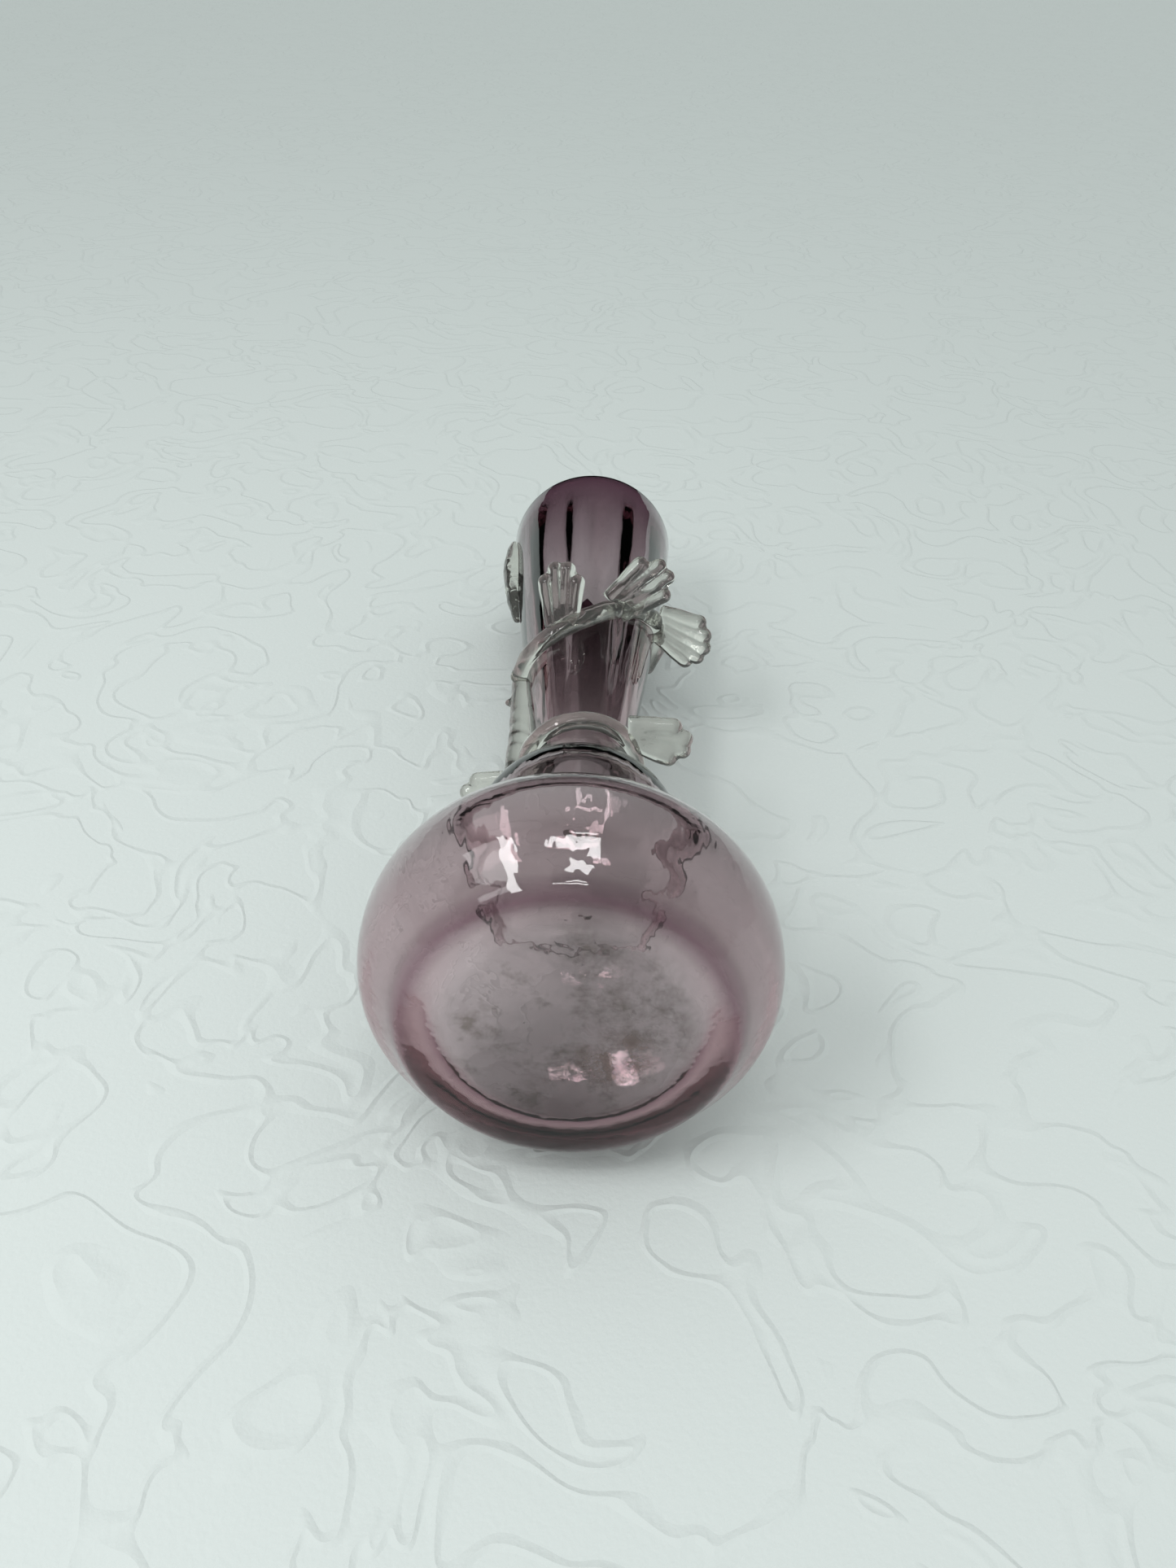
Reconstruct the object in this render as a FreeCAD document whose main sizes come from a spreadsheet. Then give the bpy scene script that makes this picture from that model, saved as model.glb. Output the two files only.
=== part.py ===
"""Antique amethyst glass bottle with a clear collar, winding vine and ribbed leaves on its neck.

The bottle stands on its flat base at the origin and its axis is +Z. Millimetres throughout.
Angles round the neck are counted from the front, -Y, towards +X.
"""
import FreeCAD, Part
import math
import os

import Sketcher

Vector = FreeCAD.Vector
Rotation = FreeCAD.Rotation

doc = FreeCAD.newDocument("antique_glass_bottle")

# Driving dimensions

SIZES = {
    # outside of the blown wall, as stacked lengths and the radius at each step
    "foot_flat_radius": 27.0,
    "foot_radius": 31.5,
    "heel_radius": 35.5,
    "heel_rise": 5.5,
    "flank_rise": 6.9,
    "globe_radius": 41.9,
    "globe_band": 14.7,
    "crown_rise": 11.8,
    "shoulder_radius": 31.1,
    "shoulder_rise": 4.1,
    "waist_radius": 20.8,
    "waist_band": 7.5,
    "bulb_rise": 4.5,
    "bulb_radius": 23.8,
    "bulb_band": 13.3,
    "bulb_fall": 11.2,
    "bulb_top_radius": 15.8,
    "neck_foot_rise": 9.0,
    "neck_foot_radius": 8.3,
    "neck_lower_rise": 86.0,
    "neck_middle_radius": 20.5,
    "neck_upper_rise": 63.4,
    "mouth_radius": 25.9,
    # glass thickness
    "lip_thickness": 4.2,
    "neck_wall": 3.2,
    "bulb_wall": 2.6,
    "globe_wall": 1.9,
    "base_thickness": 3.4,
    "floor_margin": 15.6,
    "floor_flat_margin": 4.8,
    "heel_swell": 5.1,
    # clear ring round the foot of the neck
    "collar_above_bulb": 6.5,
    "collar_thickness": 4.2,
    "collar_sink": 0.8,
    "collar_tilt": 5.0,
    # clear trails
    "trail_thickness": 5.0,
    "trail_sink": 0.8,
    "trail_press": 1.0,
    "thorn_length": 4.2,
    "thorn_root_thickness": 4.4,
    "thorn_tip_thickness": 0.8,
    # clear drop on the neck below the lip
    "drop_length": 47.0,
    "drop_thickness": 7.4,
    "drop_end_thickness": 1.8,
    "drop_lift": 0.8,
    "drop_below_mouth": 6.0,
    "drop_tail_angle": -97.0,
    "drop_top_angle": -82.0,
    # ribs of the leaves
    "rib_root_thickness": 3.2,
    "rib_thickness": 4.0,
    "fan_radius": 20.0,
    "trail_leaf_bury": 1.6,
    "ring_leaf_bury": 0.3,
}

# Every leaf: length, angle between its outer ribs, place round the neck, and how it leans
LEAF_SIZES = ("length", "spread", "angle", "rise", "swing")
LEAVES = {
    "front_leaf": (17.5, 14.0, -23.0, 20.0, 20.0),
    "slant_leaf": (18.5, 19.0, 21.0, 12.0, 31.0),
    "right_leaf": (17.5, 22.0, 72.0, -32.0, 32.0),
    "collar_leaf": (15.5, 15.0, 47.0, -6.0, 48.0),
    "low_leaf": (15.6, 14.0, -110.0, -7.0, 6.0),
}
RIBS = {"front_leaf": 4, "slant_leaf": 4, "right_leaf": 5, "collar_leaf": 4, "low_leaf": 4}

# The outermost ribs of a leaf are shorter by this share, which rounds its tip
TIP_ROUNDING = 0.2

sheet = doc.addObject("Spreadsheet::Sheet", "Sizes")
for leaf_name, leaf_values in LEAVES.items():
    for size_name, value in zip(LEAF_SIZES, leaf_values):
        SIZES[f"{leaf_name}_{size_name}"] = value
for row, (alias, value) in enumerate(SIZES.items(), start=1):
    sheet.set(f"A{row}", alias)
    sheet.set(f"B{row}", str(value))
    sheet.setAlias(f"B{row}", alias)
doc.recompute()


def size(alias):
    return float(sheet.get(alias))


def cell(alias):
    return f"{sheet.Name}.{alias}"


def origin_feature(body, role):
    return next(feature for feature in body.Origin.OriginFeatures if feature.Role == role)


def new_sketch(body, name, plane_role):
    sketch = body.newObject("Sketcher::SketchObject", name)
    sketch.AttachmentSupport = [(origin_feature(body, plane_role), "")]
    sketch.MapMode = "FlatFace"
    return sketch


def bind(sketch, constraint, name, expression):
    """Adds a dimension to the sketch and ties it to the sheet."""
    index = sketch.addConstraint(constraint)
    sketch.renameConstraint(index, name)
    sketch.setExpression(f"Constraints.{name}", expression)


# Blown bottle

START, END, CENTRE = range(1, 4)
HORIZONTAL_AXIS, VERTICAL_AXIS = range(-1, -3, -1)
ORIGIN_POINT = (HORIZONTAL_AXIS, START)

# A slanting wall's inner corner lies this share of the wall's thickness below its outer corner
SLANT_DROP = 0.7

OUTER_STEPS = (
    ("foot_flat", "foot_flat_radius", None),
    ("foot_edge", "foot_radius", None),
    ("heel", "heel_radius", "heel_rise"),
    ("flank", "globe_radius", "flank_rise"),
    ("crown", "globe_radius", "globe_band"),
    ("shoulder", "shoulder_radius", "crown_rise"),
    ("waist_low", "waist_radius", "shoulder_rise"),
    ("waist_high", "waist_radius", "waist_band"),
    ("bulb_low", "bulb_radius", "bulb_rise"),
    ("bulb_high", "bulb_radius", "bulb_band"),
    ("bulb_top", "bulb_top_radius", "bulb_fall"),
    ("neck_foot", "neck_foot_radius", "neck_foot_rise"),
    ("neck_middle", "neck_middle_radius", "neck_lower_rise"),
    ("mouth", "mouth_radius", "neck_upper_rise"),
)


def outer_stations():
    """Name, radius and height of each control point outside, as expressions of the sheet."""
    stations = {}
    height = None
    for name, radius, rise in OUTER_STEPS:
        if rise:
            height = f"{height} + {cell(rise)}" if height else cell(rise)
        stations[name] = (cell(radius), height)
    return stations


def inner_stations(outer):
    """The hollow's control points, from the lip down to the floor, one wall inside the outer ones."""
    walls = (
        ("neck_middle", "neck_wall", 0),
        ("neck_foot", "neck_wall", 0),
        ("bulb_top", "bulb_wall", -SLANT_DROP),
        ("bulb_high", "bulb_wall", -SLANT_DROP),
        ("bulb_low", "bulb_wall", 0),
        ("waist_high", "bulb_wall", 0),
        ("waist_low", "bulb_wall", -SLANT_DROP),
        ("shoulder", "globe_wall", -SLANT_DROP),
        ("crown", "globe_wall", -SLANT_DROP),
    )
    lip_radius, lip_height = outer["mouth"]
    stations = {"lip": (f"{lip_radius} - {cell('lip_thickness')}", lip_height)}
    for name, wall, drop in walls:
        radius, height = outer[name]
        stations[f"inner_{name}"] = (f"{radius} - {cell(wall)}", f"{height} + {drop} * {cell(wall)}")
    flank_radius, flank_height = outer["flank"]
    heel_top = f"{flank_height} + {cell('heel_swell')}"
    stations["inner_flank"] = (f"{flank_radius} - {cell('globe_wall')}", heel_top)
    floor_corner = f"{cell('globe_radius')} - {cell('floor_margin')}"
    stations["floor_corner"] = (floor_corner, cell("base_thickness"))
    floor_edge = f"{floor_corner} - {cell('floor_flat_margin')}"
    stations["floor_edge"] = (floor_edge, cell("base_thickness"))
    return stations


def place_control(sketch, control, name, axis, direction, start, expression):
    """Ties a control point's distance from the origin to the sheet, or keeps it on the axis."""
    if expression:
        distance = Sketcher.Constraint(direction, *ORIGIN_POINT, control, CENTRE, start)
        bind(sketch, distance, name, expression)
    else:
        sketch.addConstraint(Sketcher.Constraint("PointOnObject", control, CENTRE, axis))


def spline(sketch, stations):
    """A smooth curve shaped by control points, each tied to the sheet. Its end legs are tangents."""
    start_points = [Vector(10 + step, 10 * (step + 1), 0) for step in range(len(stations))]
    controls = [sketch.addGeometry(Part.Circle(point, Vector(0, 0, 1), 1), True) for point in start_points]
    sketch.addConstraint(Sketcher.Constraint("Weight", controls[0], 1.0))
    for control in controls[1:]:
        sketch.addConstraint(Sketcher.Constraint("Equal", controls[0], control))
    quadratic = 2
    curve = sketch.addGeometry(Part.BSplineCurve(start_points, None, None, False, quadratic, None, False))
    alignment = "InternalAlignment:Sketcher::BSplineControlPoint"
    for order, (control, (name, (radius, height))) in enumerate(zip(controls, stations.items())):
        sketch.addConstraint(Sketcher.Constraint(alignment, control, CENTRE, curve, order))
        start = start_points[order]
        place_control(sketch, control, f"{name}_radius", VERTICAL_AXIS, "DistanceX", start.x, radius)
        place_control(sketch, control, f"{name}_height", HORIZONTAL_AXIS, "DistanceY", start.y, height)
    return curve


def turned(body, sketch, name, axis):
    """Turns a closed section once round one of its own axes."""
    doc.recompute()
    solid = body.newObject("PartDesign::Revolution", name)
    solid.Profile = sketch
    solid.ReferenceAxis = (sketch, [axis])
    solid.Angle = 360
    doc.recompute()


def make_bottle():
    """The whole blown wall as one section, turned round the axis."""
    body = doc.addObject("PartDesign::Body", "bottle")
    section = new_sketch(body, "wall_section", "XZ_Plane")
    outer = outer_stations()
    outside = spline(section, outer)
    inside = spline(section, inner_stations(outer))

    lip_circle = Part.Circle(Vector(20, 100, 0), Vector(0, 0, 1), 2)
    lip = section.addGeometry(Part.ArcOfCircle(lip_circle, 0, math.pi))
    section.addConstraint(Sketcher.Constraint("Coincident", outside, END, lip, START))
    section.addConstraint(Sketcher.Constraint("Coincident", lip, END, inside, START))
    section.addConstraint(Sketcher.Constraint("Symmetric", lip, START, lip, END, lip, CENTRE))

    base = section.addGeometry(Part.LineSegment(Vector(0, 0, 0), Vector(10, 0, 0)))
    section.addConstraint(Sketcher.Constraint("Coincident", base, START, *ORIGIN_POINT))
    section.addConstraint(Sketcher.Constraint("Coincident", base, END, outside, START))
    floor = section.addGeometry(Part.LineSegment(Vector(10, 5, 0), Vector(0, 5, 0)))
    section.addConstraint(Sketcher.Constraint("Coincident", floor, START, inside, END))
    section.addConstraint(Sketcher.Constraint("PointOnObject", floor, END, VERTICAL_AXIS))
    section.addConstraint(Sketcher.Constraint("Horizontal", floor))
    middle = section.addGeometry(Part.LineSegment(Vector(0, 5, 0), Vector(0, 0, 0)))
    section.addConstraint(Sketcher.Constraint("Coincident", middle, START, floor, END))
    section.addConstraint(Sketcher.Constraint("Coincident", middle, END, *ORIGIN_POINT))
    turned(body, section, "blown_wall", "V_Axis")
    return body, section.Geometry[outside]


bottle, outside_curve = make_bottle()


# Places on the neck

mouth_height = sum(size(rise) for _, _, rise in OUTER_STEPS if rise)
neck_foot_height = mouth_height - size("neck_upper_rise") - size("neck_lower_rise")
collar_height = neck_foot_height + size("collar_above_bulb")


def neck_height(share):
    """Height at a share of the way from the collar to the mouth."""
    return collar_height + share * (mouth_height - collar_height)


def outer_radius(height):
    """Radius of the outer wall at a height, found on the section's own curve."""
    low, high = outside_curve.FirstParameter, outside_curve.LastParameter
    for _ in range(60):
        middle = (low + high) / 2
        if outside_curve.value(middle).y < height:
            low = middle
        else:
            high = middle
    return outside_curve.value(low).x


def outward(angle):
    return Vector(math.sin(math.radians(angle)), -math.cos(math.radians(angle)), 0)


def at_neck(height, angle, lift):
    """A point that stands a distance off the neck's outside."""
    return outward(angle) * (outer_radius(height) + lift) + Vector(0, 0, height)


def seated(label, raw, *carriers):
    """Trims a hot-applied piece to the glass it was pressed on, so the two meet face to face."""
    piece = raw
    for carrier in carriers:
        trimmed = doc.addObject("Part::Cut", f"{label}_on_{carrier.Label}")
        trimmed.Base = piece
        trimmed.Tool = carrier
        piece = trimmed
    doc.recompute()
    piece.Label = label
    return piece


# Clear collar

COLLAR_RADIUS = outer_radius(collar_height) + size("collar_thickness") / 2 - size("collar_sink")
COLLAR_PLACE = FreeCAD.Placement(Vector(0, 0, collar_height), Rotation(Vector(0, 1, 0), -size("collar_tilt")))


def make_collar():
    """A round glass thread laid in a ring, a little askew."""
    ring = doc.addObject("Part::Torus", "collar_thread")
    ring.Radius1 = COLLAR_RADIUS
    ring.setExpression("Radius2", f"{cell('collar_thickness')} / 2")
    ring.Placement = COLLAR_PLACE
    return seated("neck_collar", ring, bottle)


neck_collar = make_collar()


# Clear trails

TRAIL_LIFT = size("trail_thickness") / 2 - size("trail_sink")
OVER_COLLAR = size("collar_thickness") - size("collar_sink") + TRAIL_LIFT - size("trail_press")

# Share of the way up the neck, angle round it and lift off it
STEM_ROUTE = (
    (-0.03, -99.0, OVER_COLLAR),
    (0.04, -98.0, OVER_COLLAR),
    (0.12, -97.0, TRAIL_LIFT + 1.3),
    (0.21, -97.0, TRAIL_LIFT + 0.6),
    (0.32, -93.0, TRAIL_LIFT - 0.6),
)
THORN_SHARE = 0.25
TRAIL_ROUTE = (
    (0.312, -88.0, TRAIL_LIFT),
    (0.301, -58.0, TRAIL_LIFT),
    (0.305, -30.0, TRAIL_LIFT),
    (0.33, -6.0, TRAIL_LIFT),
    (0.378, 15.0, TRAIL_LIFT),
    (0.438, 38.0, TRAIL_LIFT),
    (0.51, 70.0, TRAIL_LIFT),
    (0.55, 98.0, TRAIL_LIFT),
    (0.565, 122.0, TRAIL_LIFT - 0.6),
)
# An arc takes up this share of the shorter of its two runs
CORNER_SHARE = 0.45


def rounded_path(points):
    """Straight runs joined by tangent arcs, each as large as its two runs allow."""
    edges = []
    begin = points[0]
    for before, corner, after in zip(points, points[1:], points[2:]):
        back = (before - corner).normalize()
        ahead = (after - corner).normalize()
        cut = CORNER_SHARE * min((before - corner).Length, (after - corner).Length)
        half_turn = (math.pi - back.getAngle(ahead)) / 2
        radius = cut / math.tan(half_turn)
        bisector = (back + ahead).normalize()
        centre = corner + bisector * math.hypot(cut, radius)
        middle = centre - bisector * radius
        first, last = corner + back * cut, corner + ahead * cut
        edges.append(Part.LineSegment(begin, first).toShape())
        edges.append(Part.Arc(first, middle, last).toShape())
        begin = last
    edges.append(Part.LineSegment(begin, points[-1]).toShape())
    return Part.Wire(edges)


def joined(label, first, second):
    whole = doc.addObject("Part::Fuse", label)
    whole.Base = first
    whole.Tool = second
    return whole


def make_thread(label, route):
    """A round glass thread led along the neck, with a rounded end."""
    points = [at_neck(neck_height(share), angle, lift) for share, angle, lift in route]
    path = doc.addObject("Part::Feature", f"{label}_path")
    path.Shape = rounded_path(points)
    profile = doc.addObject("Part::Circle", f"{label}_profile")
    profile.setExpression("Radius", f"{cell('trail_thickness')} / 2")
    profile.Placement = FreeCAD.Placement(points[0], Rotation(Vector(0, 0, 1), points[1] - points[0]))
    thread = doc.addObject("Part::Sweep", f"{label}_thread")
    thread.Sections = [profile]
    thread.Spine = (path, [f"Edge{number + 1}" for number in range(len(path.Shape.Edges))])
    thread.Solid = True
    tip = doc.addObject("Part::Sphere", f"{label}_tip")
    tip.setExpression("Radius", f"{cell('trail_thickness')} / 2")
    tip.Placement.Base = points[-1]
    return joined(f"{label}_whole", thread, tip), path.Shape


def point_along(wire, measure, wanted):
    """The place on a thread's middle line where a measure of the point comes nearest a value."""
    return min(wire.discretize(Number=400), key=lambda point: abs(measure(point) - wanted))


def angle_of(point):
    return math.degrees(math.atan2(point.x, -point.y))


def make_stem():
    """The trail that climbs the left side from the collar, with one thorn."""
    whole, wire = make_thread("vine_stem", STEM_ROUTE)
    seat = point_along(wire, lambda point: point.z, neck_height(THORN_SHARE))
    thorn = doc.addObject("Part::Cone", "thorn")
    thorn.setExpression("Radius1", f"{cell('thorn_root_thickness')} / 2")
    thorn.setExpression("Radius2", f"{cell('thorn_tip_thickness')} / 2")
    thorn.setExpression("Height", cell("thorn_length"))
    thorn.Placement = FreeCAD.Placement(seat, Rotation(Vector(0, 0, 1), outward(angle_of(seat))))
    return seated("vine_stem", joined("vine_stem_thorned", whole, thorn), bottle, neck_collar)


vine_stem = make_stem()
trail_whole, trail_wire = make_thread("vine_trail", TRAIL_ROUTE)
vine_trail = seated("vine_trail", trail_whole, bottle, vine_stem)


# Clear drop below the lip

# The drop is thickest at this share of its length
BELLY_SHARE = 0.575


def make_neck_drop():
    """A smooth tear of glass, thickest above its middle, lying along the neck."""
    body = doc.addObject("PartDesign::Body", "drop_of_glass")
    outline = new_sketch(body, "half_drop", "XZ_Plane")
    long_circle = Part.Circle(Vector(-170, 30, 0), Vector(0, 0, 1), 174)
    short_circle = Part.Circle(Vector(-80, 30, 0), Vector(0, 0, 1), 84)
    lower = outline.addGeometry(Part.ArcOfCircle(long_circle, -0.18, 0))
    upper = outline.addGeometry(Part.ArcOfCircle(short_circle, 0, 0.25))
    tail = outline.addGeometry(Part.LineSegment(Vector(0, 0, 0), Vector(1, 0, 0)))
    top = outline.addGeometry(Part.LineSegment(Vector(1, 50, 0), Vector(0, 50, 0)))
    axis = outline.addGeometry(Part.LineSegment(Vector(0, 50, 0), Vector(0, 0, 0)))
    outline.addConstraint(Sketcher.Constraint("Coincident", tail, START, *ORIGIN_POINT))
    outline.addConstraint(Sketcher.Constraint("Horizontal", tail))
    outline.addConstraint(Sketcher.Constraint("Coincident", lower, START, tail, END))
    outline.addConstraint(Sketcher.Constraint("Tangent", lower, END, upper, START))
    outline.addConstraint(Sketcher.Constraint("Horizontal", lower, END, lower, CENTRE))
    outline.addConstraint(Sketcher.Constraint("Coincident", top, START, upper, END))
    outline.addConstraint(Sketcher.Constraint("Horizontal", top))
    outline.addConstraint(Sketcher.Constraint("Coincident", axis, START, top, END))
    outline.addConstraint(Sketcher.Constraint("Coincident", axis, END, *ORIGIN_POINT))
    outline.addConstraint(Sketcher.Constraint("Vertical", axis))
    end_radius = f"{cell('drop_end_thickness')} / 2"
    bind(outline, Sketcher.Constraint("DistanceX", tail, START, tail, END, 1.0), "tail_radius", end_radius)
    bind(outline, Sketcher.Constraint("DistanceX", top, END, top, START, 1.0), "top_radius", end_radius)
    belly_radius = Sketcher.Constraint("DistanceX", *ORIGIN_POINT, lower, END, 4.0)
    bind(outline, belly_radius, "belly_radius", f"{cell('drop_thickness')} / 2")
    belly_rise = Sketcher.Constraint("DistanceY", *ORIGIN_POINT, lower, END, 30.0)
    bind(outline, belly_rise, "belly_rise", f"{BELLY_SHARE} * {cell('drop_length')}")
    length = Sketcher.Constraint("DistanceY", axis, END, axis, START, 50.0)
    bind(outline, length, "length", cell("drop_length"))
    turned(body, outline, "drop", "V_Axis")
    top_height = mouth_height - size("drop_below_mouth")
    foot = at_neck(top_height - size("drop_length"), size("drop_tail_angle"), size("drop_lift"))
    head = at_neck(top_height, size("drop_top_angle"), size("drop_lift"))
    along, out = head - foot, outward((size("drop_tail_angle") + size("drop_top_angle")) / 2)
    body.Placement = FreeCAD.Placement(foot, Rotation(out, along.cross(out), along, "ZXY"))
    return seated("neck_drop", body, bottle)


neck_drop = make_neck_drop()


# Ribbed leaves

def add_rib(body, name, turn, length):
    """One rib of a leaf: a slim cone with a round end, pointing away from the middle of the fan."""
    half = new_sketch(body, f"half_{name}", "XY_Plane")
    half.AttachmentOffset = FreeCAD.Placement(Vector(), Rotation(Vector(0, 0, 1), turn))
    axis = half.addGeometry(Part.LineSegment(Vector(10, 0, 0), Vector(30, 0, 0)))
    root = half.addGeometry(Part.LineSegment(Vector(10, 0, 0), Vector(10, 1, 0)))
    side = half.addGeometry(Part.LineSegment(Vector(10, 1, 0), Vector(28, 2, 0)))
    tip_circle = Part.Circle(Vector(28, 0, 0), Vector(0, 0, 1), 2)
    tip = half.addGeometry(Part.ArcOfCircle(tip_circle, 0, math.pi / 2))
    half.addConstraint(Sketcher.Constraint("PointOnObject", axis, START, HORIZONTAL_AXIS))
    half.addConstraint(Sketcher.Constraint("Horizontal", axis))
    half.addConstraint(Sketcher.Constraint("Coincident", root, START, axis, START))
    half.addConstraint(Sketcher.Constraint("Vertical", root))
    half.addConstraint(Sketcher.Constraint("Coincident", side, START, root, END))
    half.addConstraint(Sketcher.Constraint("PointOnObject", tip, CENTRE, HORIZONTAL_AXIS))
    half.addConstraint(Sketcher.Constraint("Coincident", tip, START, axis, END))
    half.addConstraint(Sketcher.Constraint("Tangent", side, END, tip, END))
    root_distance = Sketcher.Constraint("DistanceX", *ORIGIN_POINT, axis, START, 10.0)
    bind(half, root_distance, "root_distance", cell("fan_radius"))
    bind(half, Sketcher.Constraint("DistanceX", axis, START, axis, END, 20.0), "length", length)
    root_radius = Sketcher.Constraint("DistanceY", root, START, root, END, 1.0)
    bind(half, root_radius, "root_radius", f"{cell('rib_root_thickness')} / 2")
    bind(half, Sketcher.Constraint("Radius", tip, 2.0), "tip_radius", f"{cell('rib_thickness')} / 2")
    turned(body, half, name, "H_Axis")


def make_leaf(name, seat, reach, *carriers):
    """A fan of round ribs, as pincers leave them, standing out from the thread that carries it."""
    body = doc.addObject("PartDesign::Body", f"{name}_fan")
    spread = size(f"{name}_spread")
    for order in range(RIBS[name]):
        aside = 2 * order / (RIBS[name] - 1) - 1
        share = 1 - TIP_ROUNDING * aside ** 2
        add_rib(body, f"rib_{order + 1}", aside * spread / 2, f"{share} * {cell(f'{name}_length')}")
    angle = size(f"{name}_angle")
    root = seat + outward(angle) * reach
    along = outward(angle + size(f"{name}_swing"))
    across = Vector(-along.y, along.x, 0)
    stand = Rotation(along, across, Vector(0, 0, 1), "XYZ")
    lean = stand * Rotation(Vector(0, 1, 0), -size(f"{name}_rise"))
    fan_middle = root - lean.multVec(Vector(size("fan_radius"), 0, 0))
    body.Placement = FreeCAD.Placement(fan_middle, lean)
    return seated(name, body, *carriers)


def trail_leaf(name):
    seat = point_along(trail_wire, angle_of, size(f"{name}_angle"))
    reach = size("trail_thickness") / 2 - size("trail_leaf_bury")
    return make_leaf(name, seat, reach, vine_trail, bottle)


def ring_leaf(name, *carriers):
    seat = COLLAR_PLACE.multVec(outward(size(f"{name}_angle")) * COLLAR_RADIUS)
    reach = size("collar_thickness") / 2 - size("ring_leaf_bury")
    return make_leaf(name, seat, reach, neck_collar, bottle, *carriers)


front_leaf = trail_leaf("front_leaf")
slant_leaf = trail_leaf("slant_leaf")
right_leaf = trail_leaf("right_leaf")
collar_leaf = ring_leaf("collar_leaf")
low_leaf = ring_leaf("low_leaf", vine_stem)

# Checks, then one file for each piece

PIECES = (bottle, neck_collar, vine_stem, vine_trail, neck_drop,
          front_leaf, slant_leaf, right_leaf, collar_leaf, low_leaf)
doc.recompute()
for item in doc.Objects:
    if "Invalid" in item.State or "Error" in item.State:
        raise RuntimeError(f"{item.Label} failed: {item.State}")
os.makedirs("parts", exist_ok=True)
for piece in PIECES:
    shape = piece.Shape
    if shape.isNull() or not shape.isValid() or len(shape.Solids) != 1:
        raise RuntimeError(f"{piece.Label} isn't one valid solid: {len(shape.Solids)} solids")
    shape.exportStep(f"parts/{piece.Label}.step")
    print(f"{piece.Label}: {shape.Volume:.0f} mm3, {shape.BoundBox.ZLength:.1f} mm high")
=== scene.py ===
# %% [markdown]
# An antique bottle of amethyst glass lies on its side in the photograph, with its flat base towards
# us. Here it stands upright on its base, as it would on a shelf, and the camera goes to the place
# from which the photograph saw it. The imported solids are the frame, in metres. Every piece below is
# set on its solid, and the text says where the glass departs from it.

# %% Load the frame
import math

import bmesh
import bpy
import numpy as np
from mathutils import Matrix, Vector, noise


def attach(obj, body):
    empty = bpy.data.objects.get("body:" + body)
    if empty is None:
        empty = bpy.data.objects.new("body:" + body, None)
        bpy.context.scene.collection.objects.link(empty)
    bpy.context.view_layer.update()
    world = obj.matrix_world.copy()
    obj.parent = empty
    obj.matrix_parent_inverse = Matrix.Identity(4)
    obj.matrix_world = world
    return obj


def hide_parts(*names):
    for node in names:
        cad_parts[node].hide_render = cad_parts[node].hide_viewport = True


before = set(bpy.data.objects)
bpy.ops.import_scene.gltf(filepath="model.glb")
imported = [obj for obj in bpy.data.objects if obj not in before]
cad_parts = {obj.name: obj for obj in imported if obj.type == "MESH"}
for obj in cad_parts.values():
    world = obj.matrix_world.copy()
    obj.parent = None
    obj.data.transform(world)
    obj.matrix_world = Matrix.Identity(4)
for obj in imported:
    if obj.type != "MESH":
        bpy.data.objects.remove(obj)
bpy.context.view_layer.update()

MM = 0.001
scene = bpy.context.scene
scene.view_settings.view_transform = "Standard"
print("solids:", ", ".join(sorted(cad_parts)))

# %% [markdown]
# The camera comes first, because everything else is judged through it. The photograph gives two
# points of the bottle's axis: the middle of the base and the middle of the mouth. With the distance
# to the base and the angle between the sight line and the axis, these two points fix how the camera
# is turned: one rotation carries the two rays of the picture onto the two directions in the room.

# %% Rays of the picture
PHOTO_WIDTH, PHOTO_HEIGHT = 1445, 1927
LENS_MM, SENSOR_MM = 30.0, 36.0
BASE_PIXEL = (697.3, 1273.5)
MOUTH_PIXEL = (727.7, 673.3)


def picture_ray(pixel):
    """Direction through a pixel in the camera's own axes, which look along -Z."""
    focal_pixels = LENS_MM / SENSOR_MM * PHOTO_HEIGHT
    across, down = pixel
    return Vector((across - PHOTO_WIDTH / 2, PHOTO_HEIGHT / 2 - down, -focal_pixels)).normalized()


def axes_from(first, second):
    """Three square axes from two directions, as the columns of a matrix."""
    side = first.cross(second).normalized()
    return Matrix((first, side, first.cross(side))).transposed()


base_ray, mouth_ray = picture_ray(BASE_PIXEL), picture_ray(MOUTH_PIXEL)
picture_axes = axes_from(base_ray, mouth_ray)
print("base and mouth", round(math.degrees(base_ray.angle(mouth_ray)), 1), "degrees apart")

# %% Camera
BOTTLE_HEIGHT = 240.0 * MM
CAMERA_DISTANCE = 245.7 * MM
SIGHT_TO_AXIS = math.radians(42.92)
NEAREST_SEEN = 10.0 * MM

camera_data = bpy.data.cameras.new("photo_camera")
camera_data.lens = LENS_MM
camera_data.sensor_fit = "VERTICAL"
camera_data.sensor_height = SENSOR_MM
camera_data.clip_start = NEAREST_SEEN
camera = bpy.data.objects.new("photo_camera", camera_data)
scene.collection.objects.link(camera)
camera_place = Vector((0, -math.sin(SIGHT_TO_AXIS), -math.cos(SIGHT_TO_AXIS))) * CAMERA_DISTANCE
to_base = -camera_place.normalized()
to_mouth = (Vector((0, 0, BOTTLE_HEIGHT)) - camera_place).normalized()
turn = axes_from(to_base, to_mouth) @ picture_axes.transposed()
camera.matrix_world = Matrix.Translation(camera_place) @ turn.to_4x4()
scene.camera = camera
print("camera at", [round(value / MM) for value in camera_place], "mm")

# %% [markdown]
# Materials and node trees are built from small parts. Colours are written as the hex values that a
# paint program shows and turned to linear light by one function. Another adds a node with its
# settings and links. Places on the glass are chosen with Map Range nodes, which turn a height or a
# radius into a fade from 0 to 1.

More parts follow.
